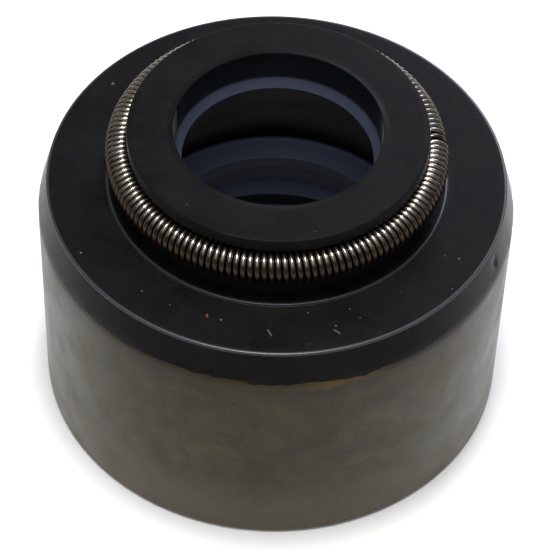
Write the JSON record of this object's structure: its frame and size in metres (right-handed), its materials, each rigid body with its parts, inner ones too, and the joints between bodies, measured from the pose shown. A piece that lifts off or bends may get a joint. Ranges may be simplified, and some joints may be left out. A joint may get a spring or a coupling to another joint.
{
  "type": "valve stem seal",
  "caption": "Valve stem seal: a steel case lined with rubber that grips a valve guide, with a spring-loaded lip that wipes the stem.",
  "frame": {"origin": "centre of the metal case's open rim, on the plane that it stands on", "axes": "+Z along the valve stem's axis, from the open rim towards the head with the spring"},
  "size_m": [0.0186, 0.0186, 0.0134],
  "materials": {
    "case_steel": "drawn sheet steel with a mottled brown-grey phosphate coat",
    "seal_rubber": "moulded black oil-resistant rubber, satin",
    "spring_steel": "bright drawn spring wire, close wound"
  },
  "bodies": {
    "root": {"metal_case": "case_steel", "rubber_body": "seal_rubber", "garter_spring": "spring_steel"}
  },
  "joints": []
}
